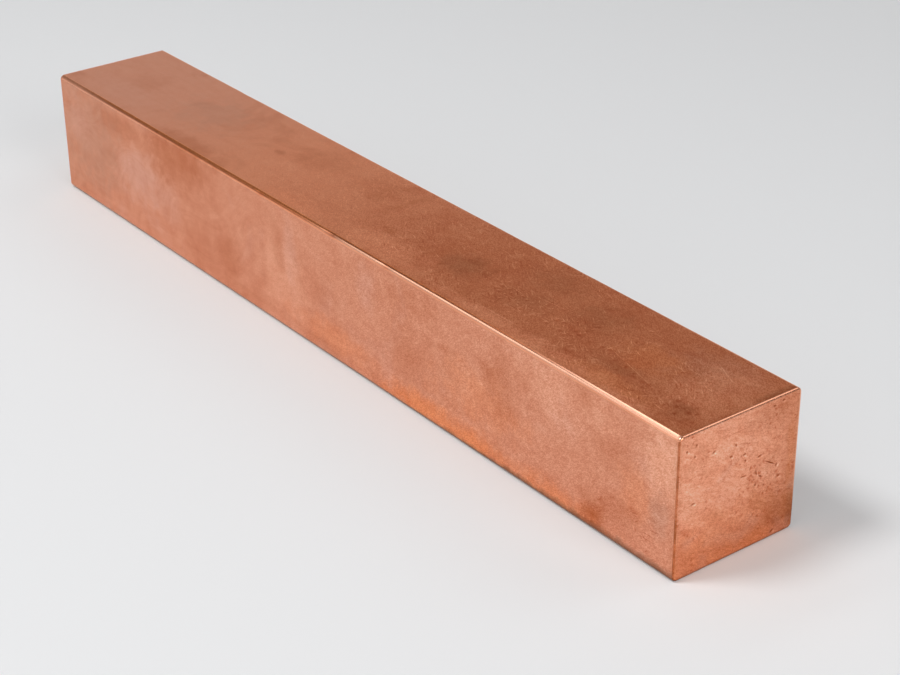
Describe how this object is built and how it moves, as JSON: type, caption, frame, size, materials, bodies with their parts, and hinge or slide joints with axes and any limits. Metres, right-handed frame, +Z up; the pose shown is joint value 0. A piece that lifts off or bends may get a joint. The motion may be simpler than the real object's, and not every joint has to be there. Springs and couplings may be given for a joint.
{
  "type": "copper square bar",
  "caption": "Solid copper bar stock of square section with small rounded long edges and plain sawn, deburred ends, for machining, forming or carrying current.",
  "frame": {"origin": "on the floor, under the middle of the bar", "axes": "+X along the bar, +Z up from the flat that it lies on, +Y across"},
  "size_m": [0.15, 0.02, 0.02],
  "materials": {
    "copper": "satin"
  },
  "bodies": {
    "root": {"square_bar": "copper"}
  },
  "joints": []
}
